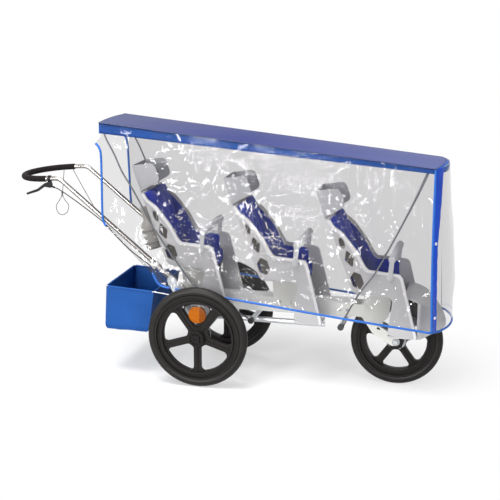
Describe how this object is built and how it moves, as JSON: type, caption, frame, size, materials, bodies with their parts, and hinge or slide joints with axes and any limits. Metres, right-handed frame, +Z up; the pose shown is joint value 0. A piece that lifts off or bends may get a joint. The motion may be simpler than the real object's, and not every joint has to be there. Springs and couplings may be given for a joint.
{
  "type": "triple stroller",
  "caption": "In-line stroller with bucket seats in a row under a clear rain cover, spoked wheels, a looped push handle with a brake lever and a rear basket.",
  "frame": {"origin": "on the floor, under the middle of the overall box", "axes": "+X forward, towards the single front wheel; +Y to the stroller's left; +Z up"},
  "size_m": [2.1974, 0.624, 1.279],
  "materials": {
    "aluminium": "satin, drawn tube",
    "steel": "zinc plated",
    "off_white_paint": "powder coat",
    "grey_shell": "moulded, satin",
    "grey_headrest": "moulded, slightly translucent",
    "grey_pad": "soft foam skin",
    "navy_cloth": "padded cloth",
    "blue_cloth": "coated cloth",
    "roof_cloth": "coated cloth with a sheen",
    "clear_sheet": "clear soft sheet",
    "black_plastic": "moulded",
    "grey_bottle": "moulded with a metal neck",
    "foam": "matt foam",
    "cable_sheath": "extruded",
    "cord": "braided",
    "charcoal_wheel": "moulded",
    "tyre": "matt rubber",
    "orange_reflector": "prismatic reflector"
  },
  "bodies": {
    "frame": {"main_beam": "aluminium", "brace_tube": "aluminium", "rear_cross_tube": "aluminium", "side_plates": "aluminium", "pole_tubes": "aluminium", "handle_sleeves": "aluminium", "sleeve_collars": "aluminium", "cover_poles": "aluminium", "axles": "steel", "frame_bolts": "steel", "brake_plate": "steel", "basket_frame": "steel", "rear_seat_bracket": "off_white_paint", "middle_seat_bracket": "off_white_paint", "front_fork": "off_white_paint", "rear_seat_shell": "grey_shell", "middle_seat_shell": "grey_shell", "front_seat_shell": "grey_shell", "foot_nose": "grey_shell", "rear_headrest": "grey_headrest", "middle_headrest": "grey_headrest", "front_headrest": "grey_headrest", "rear_cushions": "navy_cloth", "middle_cushions": "navy_cloth", "front_cushions": "navy_cloth", "basket": "blue_cloth", "cover_roof": "roof_cloth", "zip_strip": "roof_cloth", "cover_piping": "roof_cloth", "cover_right": "clear_sheet", "cover_left": "clear_sheet", "cover_front": "clear_sheet", "pole_sockets": "black_plastic", "bottle_holder": "black_plastic", "bottle": "grey_bottle", "brake_cable": "cable_sheath"},
    "handle": {"handle_tube": "aluminium", "foam_grip": "foam", "brake_clamp": "black_plastic", "hand_cord": "cord", "tie_cord": "cord"},
    "lever": {"brake_lever": "black_plastic"},
    "rear_right_wheel": {"rear_wheel_right": "charcoal_wheel", "rear_tyre_right": "tyre", "rear_bearings_right": "steel", "rear_cap_right": "charcoal_wheel", "reflector_right": "orange_reflector"},
    "rear_left_wheel": {"rear_wheel_left": "charcoal_wheel", "rear_tyre_left": "tyre", "rear_bearings_left": "steel", "rear_cap_left": "charcoal_wheel", "reflector_left": "orange_reflector"},
    "front_wheel_set": {"front_wheel": "charcoal_wheel", "front_tyre": "tyre", "front_bearings": "steel", "front_hub_rings": "charcoal_wheel"},
    "rear_lap": {"rear_lap_bar": "grey_pad"},
    "middle_lap": {"middle_lap_bar": "grey_pad"},
    "front_lap": {"front_lap_bar": "grey_pad"}
  },
  "joints": [
    {"name": "rear_right_spin", "type": "hinge", "parent": "frame", "child": "rear_right_wheel", "pos_m": [-0.10323, -0.276, 0.25], "axis": [0, 1, 0], "continuous": true},
    {"name": "rear_left_spin", "type": "hinge", "parent": "frame", "child": "rear_left_wheel", "pos_m": [-0.10323, 0.276, 0.25], "axis": [0, 1, 0], "continuous": true},
    {"name": "front_spin", "type": "hinge", "parent": "frame", "child": "front_wheel_set", "pos_m": [0.82877, 0, 0.226], "axis": [0, 1, 0], "continuous": true},
    {"name": "handle_slide", "type": "slide", "parent": "frame", "child": "handle", "axis": [-0.7716, 0, 0.6361], "range_m": [0, 0.06], "deforming": ["brake_cable"]},
    {"name": "lever_pull", "type": "hinge", "parent": "handle", "child": "lever", "pos_m": [-0.90323, -0.185, 0.948], "axis": [0, 1, 0], "range_deg": [0, 22], "stiffness_Nm_per_rad": 0.6, "springref_deg": -8.59},
    {"name": "rear_lap_hinge", "type": "hinge", "parent": "frame", "child": "rear_lap", "pos_m": [-0.11323, 0, 0.66], "axis": [0, 1, 0], "range_deg": [0, 80]},
    {"name": "middle_lap_hinge", "type": "hinge", "parent": "frame", "child": "middle_lap", "pos_m": [0.35177, 0, 0.617], "axis": [0, 1, 0], "range_deg": [0, 80]},
    {"name": "front_lap_hinge", "type": "hinge", "parent": "frame", "child": "front_lap", "pos_m": [0.80777, 0, 0.577], "axis": [0, 1, 0], "range_deg": [0, 80]}
  ]
}
